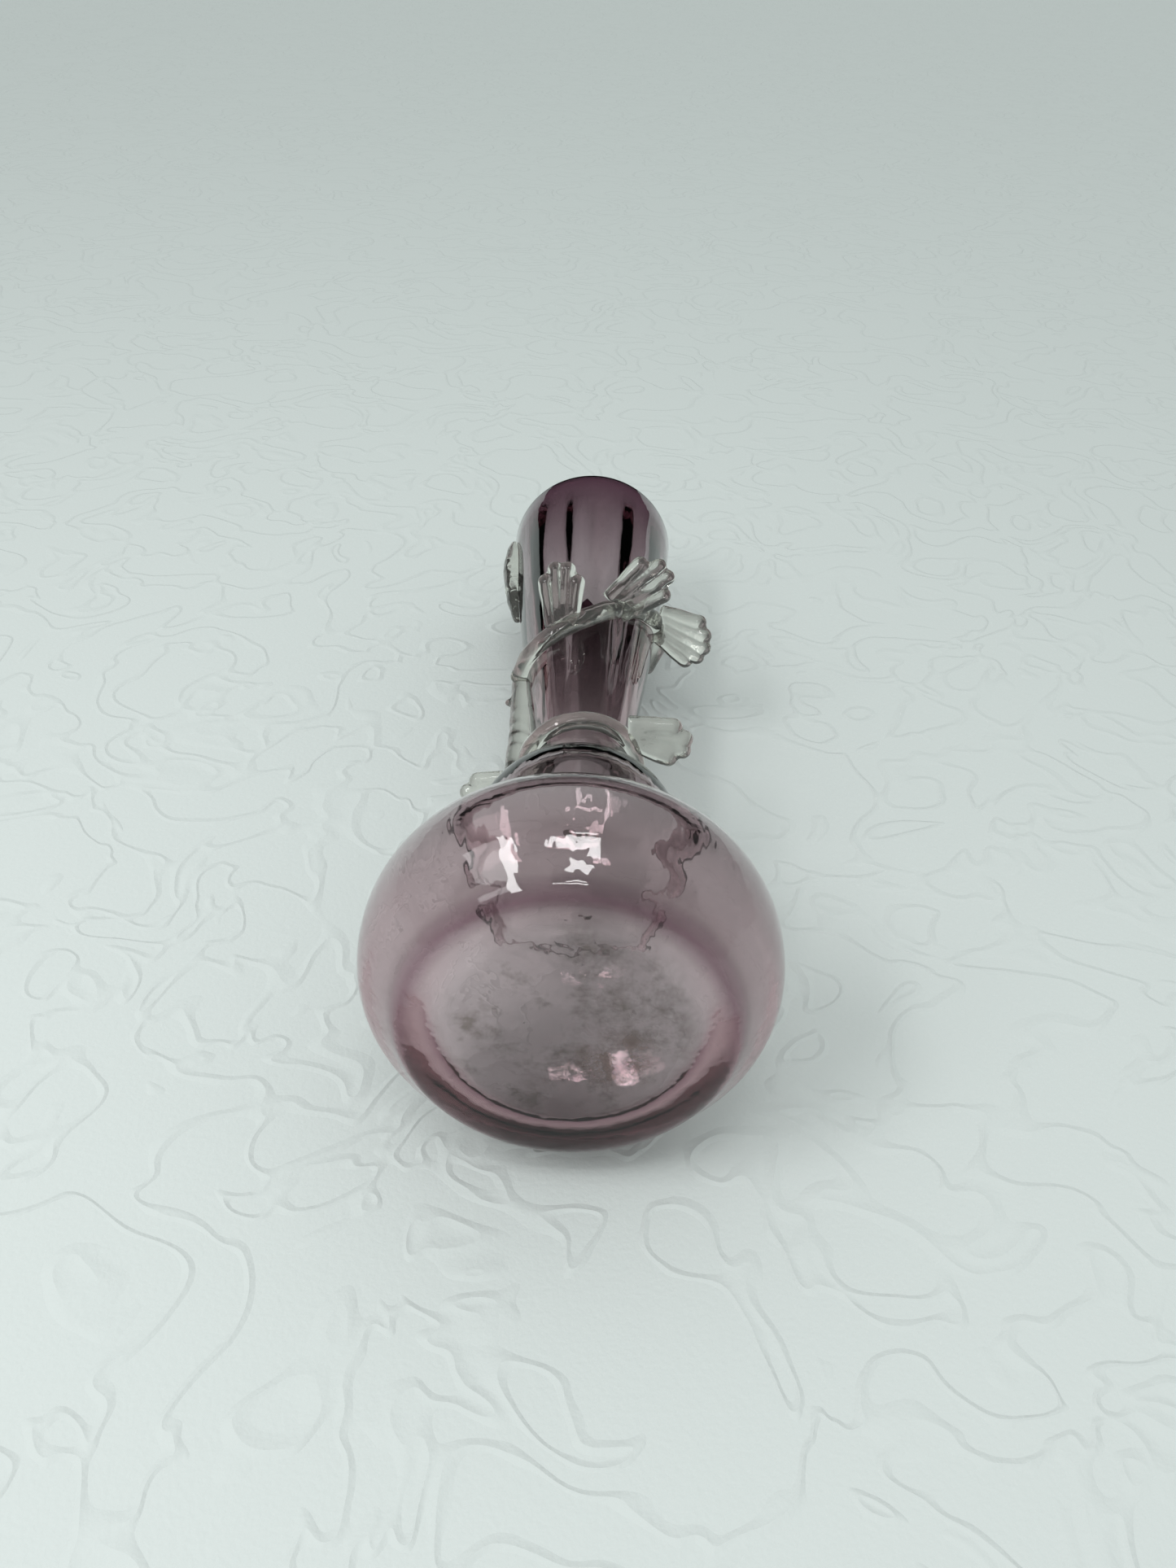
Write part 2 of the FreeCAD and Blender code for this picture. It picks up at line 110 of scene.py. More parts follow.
# %% Helpers for node trees
def linear(hex_colour):
    """sRGB hex to linear RGBA."""
    channels = [int(hex_colour[i:i + 2], 16) / 255 for i in (1, 3, 5)]
    return [c / 12.92 if c <= 0.04045 else ((c + 0.055) / 1.055) ** 2.4 for c in channels] + [1.0]


def add(tree, kind, settings=None, **inputs):
    """Adds a node. An input is a value, a socket to link, or a node, which stands for its first
    output in use. Inputs that share a name are called by number, such as _0."""
    node = tree.nodes.new(kind)
    for name, value in (settings or {}).items():
        setattr(node, name, value)
    for name, value in inputs.items():
        socket = node.inputs[int(name[1:]) if name[1:].isdigit() else name.replace("_", " ")]
        if isinstance(value, bpy.types.Node):
            value = next(output for output in value.outputs if output.enabled)
        if isinstance(value, bpy.types.NodeSocket):
            tree.links.new(value, socket)
        else:
            socket.default_value = value
    return node


def fade(zero_at, one_at):
    """Inputs of a Map Range node that goes from 0 at one value to 1 at the other."""
    return {"From_Min": zero_at, "From_Max": one_at}


def new_material(name):
    """A material with an empty node tree."""
    material = bpy.data.materials.new(name)
    material.use_nodes = True
    material.node_tree.nodes.clear()
    return material, material.node_tree


print("helpers ready")

# %% [markdown]
# The bottle was blown and its neck drawn out, which leaves faint ripples all over the wall and
# streaks along it. What the eye sees of them is how they bend the view through the glass, and a bump
# does that without any more faces. One noise is even, and one is long in Z and narrow across.

# %% Relief of the blown wall
RIPPLE_MM, RIPPLE_DEPTH, RIPPLE_STRENGTH = 14.0, 0.6 * MM, 0.06
STREAK_WIDTH_MM, STREAK_LENGTH_MM = 5.0, 160.0
STREAK_DEPTH, STREAK_STRENGTH = 0.5 * MM, 0.35


def blown_relief(tree, place):
    """Ripples and streaks together, as one bent normal."""
    ripples = add(tree, "ShaderNodeTexNoise", Vector=place, Scale=1 / (RIPPLE_MM * MM), Detail=1.0)
    waves = add(tree, "ShaderNodeBump", Height=ripples, Strength=RIPPLE_STRENGTH, Distance=RIPPLE_DEPTH)
    across, along = 1 / (STREAK_WIDTH_MM * MM), 1 / (STREAK_LENGTH_MM * MM)
    stretched = add(tree, "ShaderNodeMapping", Vector=place, Scale=(across, across, along))
    streaks = add(tree, "ShaderNodeTexNoise", Vector=stretched, Scale=1.0, Detail=2.0)
    return add(tree, "ShaderNodeBump", Height=streaks, Strength=STREAK_STRENGTH, Distance=STREAK_DEPTH,
               Normal=waves)


print("ripples of", RIPPLE_MM, "mm, streaks of", STREAK_WIDTH_MM, "mm")

# %% [markdown]
# The surface is almost colourless. It is tinted only towards the lip and in a narrow ring on the heel,
# where the photograph shows more colour than the thickness of the glass gives. Towards the lip that tint
# is partly the glass's own purple and partly painted shade, where the mouth lay in shade against the
# cloth. Stains and a spot of chalk lie on the floor of the hollow, as old water leaves them. A painted
# image could hold all this, but height and radius find each place without one, and stay with the piece.

# %% Tint, painted lip shade and floor of the hollow
COLOUR = {"data_type": "RGBA"}
# the lip colour is the glass's own purple with painted shade: it darkens towards the mouth, which lay in
# shade
WALL_TINT, LIP_TINT_AND_SHADE, HEEL_TINT = "#FDFBFC", "#836577", "#A88D9C"
LIP_TINT_AND_SHADE_FADE = fade(135 * MM, 238 * MM)
HEEL_FADE_OUT, HEEL_FADE_DOWN = fade(28 * MM, 31 * MM), fade(4 * MM, 1 * MM)
FLOOR_FADE_IN = fade(26 * MM, 20 * MM)
FLOOR_FADE_UP, FLOOR_FADE_DOWN = fade(2.5 * MM, 3.0 * MM), fade(6 * MM, 5 * MM)


def tint_and_lip_shade(tree, height, radius):
    """Pale wall, deeper purple with painted shade towards the lip, and deeper on the heel."""
    # painted shade: the wall colour darkens towards the lip
    lip_shade_share = add(tree, "ShaderNodeMapRange", Value=height, **LIP_TINT_AND_SHADE_FADE)
    neck = add(tree, "ShaderNodeMix", COLOUR, _0=lip_shade_share, _6=linear(WALL_TINT), _7=linear(LIP_TINT_AND_SHADE))
    far_out = add(tree, "ShaderNodeMapRange", Value=radius, **HEEL_FADE_OUT)
    in_heel = add(tree, "ShaderNodeMapRange", Value=height, **HEEL_FADE_DOWN, To_Max=far_out)
    return add(tree, "ShaderNodeMix", COLOUR, _0=in_heel, _6=neck, _7=linear(HEEL_TINT))


def hollow_floor(tree, height, radius):
    """1 on the floor of the hollow, 0 elsewhere. Each fade rises to the one before it, not to 1,
    so that all three are multiplied."""
    near_axis = add(tree, "ShaderNodeMapRange", Value=radius, **FLOOR_FADE_IN)
    above_base = add(tree, "ShaderNodeMapRange", Value=height, **FLOOR_FADE_UP, To_Max=near_axis)
    return add(tree, "ShaderNodeMapRange", Value=height, **FLOOR_FADE_DOWN, To_Max=above_base)


print("tints", WALL_TINT, LIP_TINT_AND_SHADE, HEEL_TINT)

# %% [markdown]
# Amethyst glass is soda-lime glass with a little manganese. Its colour is mostly in the body of the
# glass, not on the surface: a thin wall looks almost grey, and the thick heel and lip look dark purple,
# the lip deepened further by the painted shade of the surface tint.
# A coloured surface would make thin and thick glass look alike, so the surface lets light through
# and the volume absorbs it, most of it green. Fire polish left the surface smooth, which gives the
# eye small sharp highlights.

# %% Amethyst glass
GLASS_IOR = 1.5
AMETHYST_BODY, AMETHYST_DENSITY = "#AD596F", 105.0
STAIN_MM, STAIN_TINT = 7.0, "#8F887C"
CHALK = "#B9AD9E"
CHALK_PLACE = (10.0 * MM, 7.4 * MM, 3.4 * MM)
CHALK_FADE = fade(9 * MM, 3 * MM)
# values of the noise between which stain and chalk set in
STAIN_FADE, CRUMB_FADE = fade(0.50, 0.68), fade(0.42, 0.62)


def make_amethyst_glass():
    """Clear surface with stains and chalk inside, over a purple body."""
    material, tree = new_material("amethyst_blown_glass")
    place = add(tree, "ShaderNodeTexCoord").outputs["Object"]
    height = add(tree, "ShaderNodeSeparateXYZ", Vector=place).outputs["Z"]
    level = add(tree, "ShaderNodeVectorMath", {"operation": "MULTIPLY"}, _0=place, _1=(1, 1, 0))
    radius = add(tree, "ShaderNodeVectorMath", {"operation": "LENGTH"}, _0=level)

    # the surface colour carries the painted shade towards the lip
    tint_and_shade = tint_and_lip_shade(tree, height, radius)
    on_floor = hollow_floor(tree, height, radius)
    patches = add(tree, "ShaderNodeTexNoise", Vector=place, Scale=1 / (STAIN_MM * MM), Detail=5.0,
                  Roughness=0.65)
    stain = add(tree, "ShaderNodeMapRange", Value=patches, **STAIN_FADE, To_Max=on_floor)
    stained = add(tree, "ShaderNodeMix", COLOUR, _0=stain, _6=tint_and_shade, _7=linear(STAIN_TINT))
    surface = add(tree, "ShaderNodeBsdfPrincipled", Base_Color=stained, Roughness=0.015, IOR=GLASS_IOR,
                  Transmission_Weight=1.0, Normal=blown_relief(tree, place))

    away = add(tree, "ShaderNodeVectorMath", {"operation": "DISTANCE"}, _0=place, _1=CHALK_PLACE)
    spot = add(tree, "ShaderNodeMapRange", Value=away, **CHALK_FADE, To_Max=on_floor)
    dusty = add(tree, "ShaderNodeMapRange", Value=patches, **CRUMB_FADE, To_Max=spot)
    powder = add(tree, "ShaderNodeBsdfDiffuse", Color=linear(CHALK))
    soiled = add(tree, "ShaderNodeMixShader", _0=dusty, _1=surface, _2=powder)
    body = add(tree, "ShaderNodeVolumeAbsorption", Color=linear(AMETHYST_BODY), Density=AMETHYST_DENSITY)
    add(tree, "ShaderNodeOutputMaterial", Surface=soiled, Volume=body)
    return material


amethyst_glass = make_amethyst_glass()
print("made", amethyst_glass.name)

# %% [markdown]
# The trimming is clear soda-lime glass with a faint green-grey cast, laid on hot and squeezed with
# pincers. The heat left it smooth and bright, and the pincers left it gently lumpy. It is made as the
# amethyst is, with a body that absorbs little and a bump for the lumps.

# %% Clear glass
CLEAR_SURFACE = "#F6F6F0"
CLEAR_BODY, CLEAR_DENSITY = "#CBCEBF", 14.0
LUMP_MM, LUMP_DEPTH, LUMP_STRENGTH = 3.5, 0.4 * MM, 0.3


def make_clear_glass():
    """Lumpy surface over a body with hardly any colour."""
    material, tree = new_material("clear_tooled_glass")
    place = add(tree, "ShaderNodeTexCoord").outputs["Object"]
    lumps = add(tree, "ShaderNodeTexNoise", Vector=place, Scale=1 / (LUMP_MM * MM), Detail=1.0)
    tooled = add(tree, "ShaderNodeBump", Height=lumps, Strength=LUMP_STRENGTH, Distance=LUMP_DEPTH)
    surface = add(tree, "ShaderNodeBsdfPrincipled", Base_Color=linear(CLEAR_SURFACE), Roughness=0.02,
                  IOR=GLASS_IOR, Transmission_Weight=0.96, Normal=tooled)
    body = add(tree, "ShaderNodeVolumeAbsorption", Color=linear(CLEAR_BODY), Density=CLEAR_DENSITY)
    add(tree, "ShaderNodeOutputMaterial", Surface=surface, Volume=body)
    return material


clear_glass = make_clear_glass()
print("made", clear_glass.name)

# %% [markdown]
# The bottle is a turned form, so its half section says everything. The section is drawn with a few
# control points, as a glassmaker's template would be: each inner leg of the control line touches the
# curve at its middle. Between two such middles the curve is one parabola, which a short formula
# gives. The outside has the sizes of the solid except at the foot of the neck, which the photograph
# shows fuller. The walls differ from the solid's too: they are chosen so that the glass gets the
# colours of the photograph.

# %% Control points of the section
OUTSIDE = {
    "foot_flat": (27.0, 0.0),
    "foot": (31.5, 0.0),
    "heel": (35.5, 5.5),
    "globe_low": (41.9, 12.4),
    "globe_high": (41.9, 27.1),
    "shoulder": (31.1, 38.9),
    "waist_low": (20.8, 43.0),
    "waist_high": (20.8, 50.5),
    "bulb_low": (23.8, 55.0),
    "bulb_high": (23.8, 68.3),
    "bulb_top": (15.8, 79.5),
    "neck_foot": (10.4, 88.5),
    "neck_middle": (20.5, 174.5),
    "mouth": (25.9, 237.9),
}
SOLID_NECK_FOOT = (8.3, 88.5)
BASE_THICKNESS = 3.4
GLOBE_WALL, BULB_WALL, NECK_WALL, LIP = 0.9, 1.6, 3.8, 5.6
# how far the inside drops for each mm of wall
LEVEL, SLANT = 0.0, 0.7
WALLS = {
    "mouth": (LIP, LEVEL),
    "neck_middle": (NECK_WALL, LEVEL),
    "neck_foot": (NECK_WALL, LEVEL),
    "bulb_top": (BULB_WALL, SLANT),
    "bulb_high": (BULB_WALL, SLANT),
    "bulb_low": (BULB_WALL, LEVEL),
    "waist_high": (BULB_WALL, LEVEL),
    "waist_low": (BULB_WALL, SLANT),
    "shoulder": (GLOBE_WALL, SLANT),
    "globe_high": (GLOBE_WALL, SLANT),
}
HOLLOW_FLOOR = [(39.0, 16.0), (26.3, BASE_THICKNESS), (21.5, BASE_THICKNESS)]

inside = []
for name, (wall, drop) in WALLS.items():
    radius, height = OUTSIDE[name]
    inside.append((radius - wall, height - drop * wall))
inside += HOLLOW_FLOOR
print(len(OUTSIDE), "points outside and", len(inside), "inside, in mm")

# %% Half section of the wall
SPAN_STEPS, LIP_STEPS = 12, 14
LIP_RISE = 2.1


def parabolas(controls):
    """Points of the smooth curve that a control line shapes."""
    line = [Vector(point) for point in controls]
    joints = [line[0]] + [(a + b) / 2 for a, b in zip(line[1:-2], line[2:-1])] + [line[-1]]
    points = [joints[0]]
    for start, control, end in zip(joints, line[1:-1], joints[1:]):
        for step in range(1, SPAN_STEPS + 1):
            t = step / SPAN_STEPS
            points.append(start * (1 - t) ** 2 + control * 2 * t * (1 - t) + end * t ** 2)
    return points


outer_line = parabolas(OUTSIDE.values())
solid_line = parabolas((OUTSIDE | {"neck_foot": SOLID_NECK_FOOT}).values())
inner_line = parabolas(inside)
lip_middle = (outer_line[-1] + inner_line[0]) / 2
lip_arc = []
for step in range(1, LIP_STEPS):
    angle = math.pi * step / LIP_STEPS
    lip_arc.append(lip_middle + Vector((math.cos(angle) * LIP / 2, math.sin(angle) * LIP_RISE)))
half_section = [Vector((0, 0))] + outer_line + lip_arc + inner_line + [Vector((0, BASE_THICKNESS))]
section_top = max(point.y for point in half_section)
print("half section of", len(half_section), "points, top at", round(section_top, 1), "mm")

# %% [markdown]
# Spinning the section is a rule, so Geometry Nodes do it. A flat grid has one column for each point
# of the section and one row for each step of the turn. Every grid point looks up its place on the
# section, then turns about Z by its row's angle. Merging the doubles closes the seam and both poles.

# %% Lathe as a node tree
# points closer than this, in metres, are one point
DOUBLES = 1e-7


def build_lathe():
    """A node tree that spins a section about Z and gives it its glass."""
    tree = bpy.data.node_groups.new("glass_lathe", "GeometryNodeTree")
    for name, kind in (("Section", "Geometry"), ("Steps", "Int"), ("Glass", "Material")):
        tree.interface.new_socket(name, in_out="INPUT", socket_type=f"NodeSocket{kind}")
    tree.interface.new_socket("Geometry", in_out="OUTPUT", socket_type="NodeSocketGeometry")
    given = add(tree, "NodeGroupInput").outputs
    count = add(tree, "GeometryNodeAttributeDomainSize", Geometry=given["Section"]).outputs["Point Count"]
    rows = add(tree, "ShaderNodeMath", {"operation": "ADD"}, _0=given["Steps"], _1=1.0)
    grid = add(tree, "GeometryNodeMeshGrid", Vertices_X=count, Vertices_Y=rows)
    share = add(tree, "ShaderNodeSeparateXYZ", Vector=grid.outputs["UV Map"]).outputs

    last = add(tree, "ShaderNodeMath", {"operation": "SUBTRACT"}, _0=count, _1=1.0)
    column = add(tree, "ShaderNodeMath", {"operation": "MULTIPLY"}, _0=share["X"], _1=last)
    nearest = add(tree, "ShaderNodeMath", {"operation": "ROUND"}, _0=column)
    position = add(tree, "GeometryNodeInputPosition")
    on_section = add(tree, "GeometryNodeSampleIndex", {"data_type": "FLOAT_VECTOR"},
                     Geometry=given["Section"], Value=position, Index=nearest)
    angle = add(tree, "ShaderNodeMath", {"operation": "MULTIPLY"}, _0=share["Y"], _1=2 * math.pi)
    turned = add(tree, "ShaderNodeVectorRotate", {"rotation_type": "Z_AXIS"}, Vector=on_section,
                 Angle=angle)

    placed = add(tree, "GeometryNodeSetPosition", Geometry=grid, Position=turned)
    closed = add(tree, "GeometryNodeMergeByDistance", Geometry=placed, Distance=DOUBLES)
    smooth = add(tree, "GeometryNodeSetShadeSmooth", Geometry=closed)
    real = add(tree, "GeometryNodeRealizeInstances", Geometry=smooth)
    finished = add(tree, "GeometryNodeSetMaterial", Geometry=real, Material=given["Glass"])
    add(tree, "NodeGroupOutput", Geometry=finished)
    return tree


lathe = build_lathe()
print("lathe tree with", len(lathe.nodes), "nodes")

# %% [markdown]
# The export wants plain meshes, without live modifiers and with faces that point outwards. One helper
# makes such a mesh, two more read and write its vertices all at once, which is far quicker than one by
# one, and the last fixes the piece to the bottle's body and hides the solid that it stands for.

# %% Helpers for meshes
def plain_mesh(source, name):
    """Turns an object with live modifiers into a plain mesh object with outward faces."""
    depsgraph = bpy.context.evaluated_depsgraph_get()
    mesh = bpy.data.meshes.new_from_object(source.evaluated_get(depsgraph))
    mesh.name = name
    bpy.data.objects.remove(source)
    shape = bmesh.new()
    shape.from_mesh(mesh)
    bmesh.ops.recalc_face_normals(shape, faces=shape.faces)
    shape.to_mesh(mesh)
    shape.free()
    piece = bpy.data.objects.new(name, mesh)
    scene.collection.objects.link(piece)
    return piece


def vertex_values(mesh, kind):
    """One row of three numbers for each vertex: its place or its normal."""
    values = np.empty(3 * len(mesh.vertices), np.float32)
    mesh.vertices.foreach_get(kind, values)
    return values.reshape(-1, 3)


def set_places(mesh, places):
    """Moves every vertex to its row's place."""
    mesh.vertices.foreach_set("co", places.ravel())
    mesh.update()


def finish_piece(piece, node):
    """Fixes a piece to the bottle's body in place of its solid."""
    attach(piece, "root")
    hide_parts(node)
    print(piece.name, "has", len(piece.data.polygons), "faces")


print("mesh helpers ready")

# %% [markdown]
# Now the section becomes a chain of edges, and the lathe turns it. The steps are many, because every
# flat facet of glass would show as a break in what is seen through it.

# %% Turn the bottle
TURN_STEPS = 256


def turn_on_lathe(name, section, glass):
    """A turned mesh of one section line, given in mm."""
    chain = bpy.data.meshes.new(f"{name}_section")
    points = [(point.x * MM, 0, point.y * MM) for point in section]
    chain.from_pydata(points, [(i, i + 1) for i in range(len(points) - 1)], [])
    source = bpy.data.objects.new(f"{name}_section", chain)
    scene.collection.objects.link(source)
    modifier = source.modifiers.new("lathe", "NODES")
    modifier.node_group = lathe
    given = [item for item in lathe.interface.items_tree if item.in_out == "INPUT"]
    sockets = {item.name: item.identifier for item in given}
    modifier[sockets["Steps"]] = TURN_STEPS
    modifier[sockets["Glass"]] = glass
    return plain_mesh(source, name)


blown_bottle = turn_on_lathe("blown_bottle", half_section, amethyst_glass)
print("turned", len(blown_bottle.data.vertices), "points")

# %% [markdown]
# The photograph shows soft dark streaks up the neck, such as a wall of uneven thickness gives. So the
# inside of the neck gets soft upright flutes: a wave round the axis, deepest near the mouth, with a
# slower wave added so that no two flutes are alike. The lathe can't give them, because a turned form
# is equally thick all round.

# %% Flutes inside the neck
FLUTES, FLUTE_TURN, FLUTE_DEPTH = 11, 0.6, 0.45 * MM
SLOW_WAVES, SLOW_SHARE = 3, 0.4
FLUTE_FOOT, FLUTE_DEEPEST, FLUTE_END = 100 * MM, 215 * MM, BOTTLE_HEIGHT - 3 * MM
HALF_WALL = 0.5 * NECK_WALL * MM


def radius_at(line, heights):
    """Radius of a turned line at each height, in metres."""
    return np.interp(heights, [point.y * MM for point in line], [point.x * MM for point in line])


def flute_neck(piece):
    """Presses the flutes into the points that lie on the inner side of the wall."""
    places = vertex_values(piece.data, "co")
    out = np.hypot(places[:, 0], places[:, 1])
    around = np.arctan2(places[:, 1], places[:, 0])
    share = np.interp(places[:, 2], [FLUTE_FOOT, FLUTE_DEEPEST, FLUTE_END], [0, 1, 0])
    share *= radius_at(outer_line, places[:, 2]) - out > HALF_WALL
    waves = np.cos(FLUTES * around + FLUTE_TURN) + SLOW_SHARE * np.cos(SLOW_WAVES * around)
    places[:, :2] *= (1 + FLUTE_DEPTH * share * waves / np.maximum(out, MM))[:, None]
    set_places(piece.data, places)


flute_neck(blown_bottle)
finish_piece(blown_bottle, "bottle")

# %% [markdown]
# The collar, the vine, the drop and the leaves were laid on hot, so their edges melted round. They
# could be sculpted, but each starts from its solid and so keeps its place. A voxel remesh melts the
# solid into one skin, the skin swells, a second remesh lets neighbouring ribs run into each other, and
# the skin shrinks back most of the way.

# %% Melt a solid
VOXEL = 0.3 * MM
MELT_ROUNDS = 6
SWELL, SHRINK = 0.8 * MM, 0.55 * MM


def add_skin(source, swell):
    """A voxel skin over the whole object, rounded and swollen, or shrunk by a negative swell."""
    skin = source.modifiers.new("skin", "REMESH")
    skin.mode = "VOXEL"
    skin.voxel_size = VOXEL
    skin.use_smooth_shade = True
    rounding = source.modifiers.new("rounding", "SMOOTH")
    rounding.iterations = MELT_ROUNDS
    growth = source.modifiers.new("growth", "DISPLACE")
    growth.mid_level = 0.0
    growth.strength = swell


def melt(node, name, glass):
    """A soft copy of a trim solid."""
    source = bpy.data.objects.new(f"{name}_solid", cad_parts[node].data.copy())
    source.data.materials.clear()
    scene.collection.objects.link(source)
    source.modifiers.new("doubles", "WELD").merge_threshold = DOUBLES
    add_skin(source, SWELL)
    add_skin(source, -SHRINK)
    piece = plain_mesh(source, name)
    piece.data.materials.append(glass)
    return piece


print("skins of", round(VOXEL / MM, 1), "mm voxels")

# %% [markdown]
# A slow noise makes the melted trim uneven, as handwork is. Then it moves out with the fuller neck,
# by as much as the neck is wider than the solid at that height. A thin gap of air stays between trim
# and neck, because two glass skins in exactly one place would confuse the light.

# %% Lay the trimming on the neck
WOBBLE, WOBBLE_SIZE = 0.25 * MM, 5.0 * MM
AIR_GAP = 0.08 * MM


def lay_on_neck(piece):
    """Makes a melted piece uneven and seats it on the glass of the bottle."""
    places = vertex_values(piece.data, "co")
    swings = np.array([noise.noise(Vector(place) / WOBBLE_SIZE) for place in places])
    places += vertex_values(piece.data, "normal") * swings[:, None] * WOBBLE
    glass_radius = radius_at(outer_line, places[:, 2])
    out = np.hypot(places[:, 0], places[:, 1])
    carried = out + glass_radius - radius_at(solid_line, places[:, 2])
    seated = np.maximum(carried, glass_radius + AIR_GAP)
    places[:, :2] *= (seated / out)[:, None]
    set_places(piece.data, places)


TRIM = {"neck_collar": "clear_collar", "vine_stem": "thorned_stem", "vine_trail": "winding_trail",
        "neck_drop": "neck_tear", "front_leaf": "upright_leaf", "slant_leaf": "slanting_leaf",
        "right_leaf": "side_leaf", "collar_leaf": "ring_leaf", "low_leaf": "hidden_leaf"}
for node, name in TRIM.items():
    piece = melt(node, name, clear_glass)
    lay_on_neck(piece)
    finish_piece(piece, node)

# %% [markdown]
# The photograph shows the bottle lying on a pale woven cotton cloth, matt, with a soft relief of
# scrolls. Noise stands for the scrolls and for the threads, which are drawn coarser than real ones so
# that they show. The cloth is staging, so it must not hide the bottle from any other view: it is seen
# from its front only, and from behind it is clear.

# %% Pale cotton
COTTON = "#D3D9D7"
SCROLL_MM, SCROLL_HEIGHT, SCROLL_STRENGTH = 30.0, 1.0 * MM, 0.4
SCROLL_MIDDLE, SCROLL_EDGE = 0.5, fade(0.05, 0.0)
THREAD_MM, THREAD_HEIGHT, THREAD_STRENGTH = 1.2, 0.3 * MM, 0.4


def make_pale_cotton():
    """Matt cloth that is clear from behind."""
    material, tree = new_material("pale_cotton")
    place = add(tree, "ShaderNodeTexCoord").outputs["Object"]
    swirl = add(tree, "ShaderNodeTexNoise", Vector=place, Scale=1 / (SCROLL_MM * MM), Detail=1.0,
                Distortion=1.6)
    centred = add(tree, "ShaderNodeMath", {"operation": "SUBTRACT"}, _0=swirl, _1=SCROLL_MIDDLE)
    apart = add(tree, "ShaderNodeMath", {"operation": "ABSOLUTE"}, _0=centred)
    ridges = add(tree, "ShaderNodeMapRange", Value=apart, **SCROLL_EDGE)
    scrolls = add(tree, "ShaderNodeBump", Height=ridges, Strength=SCROLL_STRENGTH, Distance=SCROLL_HEIGHT)
    threads = add(tree, "ShaderNodeTexNoise", Vector=place, Scale=1 / (THREAD_MM * MM), Detail=2.0)
    woven = add(tree, "ShaderNodeBump", Height=threads, Strength=THREAD_STRENGTH, Distance=THREAD_HEIGHT,
                Normal=scrolls)
    matt = add(tree, "ShaderNodeBsdfDiffuse", Color=linear(COTTON), Normal=woven)
    clear = add(tree, "ShaderNodeBsdfTransparent")
    behind = add(tree, "ShaderNodeNewGeometry").outputs["Backfacing"]
    one_sided = add(tree, "ShaderNodeMixShader", _0=behind, _1=matt, _2=clear)
    add(tree, "ShaderNodeOutputMaterial", Surface=one_sided)
    return material


pale_cotton = make_pale_cotton()
print("made", pale_cotton.name)

# %% [markdown]
# Seen in the bottle's own frame the cloth is a sheet that leans against the back of the bottle, and a
# second sheet is the floor that the bottle stands on. They cast no shadow and no bounced light, so
# the lamps shine through both. The floor isn't seen in the glass or through it, because in the
# photograph light reaches the base from that side.

# %% Cloth and floor
CLOTH_AT_BASE, CLOTH_AT_MOUTH = 43.4 * MM, 26.2 * MM
HALF_CLOTH, CLOTH_FOOT, CLOTH_HEAD = 3.0, -1.5, 6.0
HALF_FLOOR, FLOOR_HEIGHT = 2.0, -0.2 * MM


def make_sheet(name, corners):
    """A flat sheet of cotton. Its front is the side that sees its corners run anticlockwise."""
    mesh = bpy.data.meshes.new(name)
    mesh.from_pydata(corners, [], [list(range(len(corners)))])
    mesh.materials.append(pale_cotton)
    sheet = bpy.data.objects.new(name, mesh)
    scene.collection.objects.link(sheet)
    sheet.visible_diffuse = False
    sheet.visible_shadow = False
    return sheet


def cloth_point(x, z):
    """A place on the leaning cloth."""
    slope = (CLOTH_AT_MOUTH - CLOTH_AT_BASE) / BOTTLE_HEIGHT
    return (x, CLOTH_AT_BASE + slope * z, z)


make_sheet("cloth", [cloth_point(-HALF_CLOTH, CLOTH_FOOT), cloth_point(HALF_CLOTH, CLOTH_FOOT),
                     cloth_point(HALF_CLOTH, CLOTH_HEAD), cloth_point(-HALF_CLOTH, CLOTH_HEAD)])
round_the_floor = ((-1, -1), (1, -1), (1, 1), (-1, 1))
floor = make_sheet("floor", [(x * HALF_FLOOR, y * HALF_FLOOR, FLOOR_HEIGHT) for x, y in round_the_floor])
floor.visible_glossy = False
floor.visible_transmission = False
print("cloth and floor laid")

# %% [markdown]
# Glass shows what is round it. The room is a pale shell. Rays that pass through glass or glance off it
# see the shell turn dark overhead, which draws the dark lines in the lip, and reflections see it
# dimmer all round. Without that the edges of the glass would be lost against the pale cloth.

# %% Room
ROOM, OVERHEAD = "#DDE2E1", "#242625"
OVERHEAD_FADE = fade(0.4, 0.75)
ROOM_STRENGTH, REFLECTED_STRENGTH = 1.0, 0.3


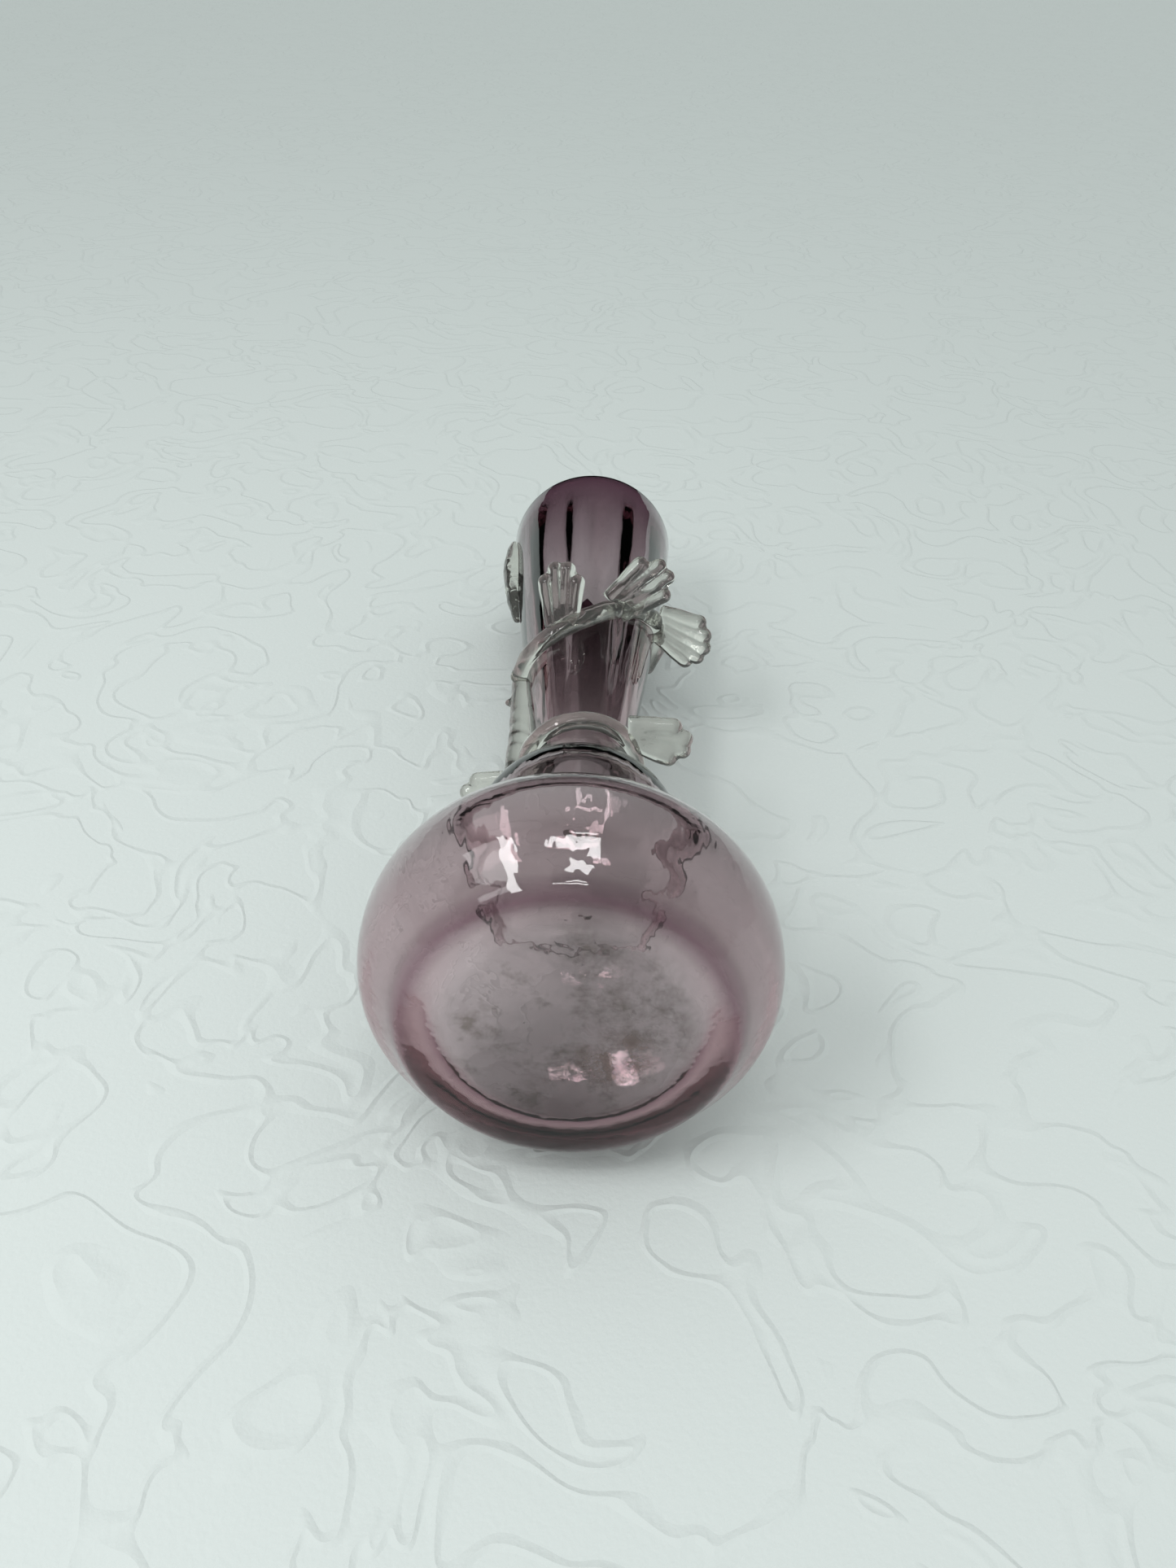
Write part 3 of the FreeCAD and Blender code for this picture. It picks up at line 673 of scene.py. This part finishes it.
def light_room():
    """A world that glass sees otherwise than the camera and the cloth do."""
    world = bpy.data.worlds.new("room")
    scene.world = world
    world.use_nodes = True
    tree = world.node_tree
    tree.nodes.clear()
    direction = add(tree, "ShaderNodeTexCoord").outputs["Generated"]
    height = add(tree, "ShaderNodeSeparateXYZ", Vector=direction).outputs["Z"]
    ray = add(tree, "ShaderNodeLightPath").outputs
    by_glass = add(tree, "ShaderNodeMath", {"operation": "MAXIMUM"}, _0=ray["Is Transmission Ray"],
                   _1=ray["Is Glossy Ray"])
    dark = add(tree, "ShaderNodeMapRange", Value=height, **OVERHEAD_FADE, To_Max=by_glass)
    shade = add(tree, "ShaderNodeMix", COLOUR, _0=dark, _6=linear(ROOM), _7=linear(OVERHEAD))
    strength = add(tree, "ShaderNodeMapRange", Value=ray["Is Glossy Ray"], To_Min=ROOM_STRENGTH,
                   To_Max=REFLECTED_STRENGTH)
    shell = add(tree, "ShaderNodeBackground", Color=shade, Strength=strength)
    add(tree, "ShaderNodeOutputWorld", Surface=shell)
    return world


room = light_room()
print("lit the", room.name)

# %% [markdown]
# Four lamps in front of the cloth draw the highlights: two panes of a window on the left and two long
# tubes. Area lamps were chosen because their shape is seen in the glass.

# %% Lamps
AIM_HEIGHT = BOTTLE_HEIGHT / 3
# place, then width and height, in mm, then how bright the lamp looks
LAMPS = {
    "left_window": ((-366, -559, -292), (90, 380), 14.0),
    "left_pane": ((-474, -477, -283), (190, 190), 3.5),
    "front_tube": ((-20, -650, -335), (260, 40), 14.0),
    "low_tube": ((17, -682, -262), (140, 30), 14.0),
}


def hang_lamp(name, place_mm, size_mm, brightness):
    """An area lamp turned to the bottle. Its power grows with its area."""
    data = bpy.data.lights.new(name, "AREA")
    data.shape = "RECTANGLE"
    data.size, data.size_y = [side * MM for side in size_mm]
    data.energy = brightness * math.pi * data.size * data.size_y
    lamp = bpy.data.objects.new(name, data)
    lamp.location = Vector(place_mm) * MM
    aim = Vector((0, 0, AIM_HEIGHT)) - lamp.location
    lamp.rotation_euler = aim.to_track_quat("-Z", "Y").to_euler()
    scene.collection.objects.link(lamp)


for name, (place_mm, size_mm, brightness) in LAMPS.items():
    hang_lamp(name, place_mm, size_mm, brightness)
print("hung", ", ".join(LAMPS))
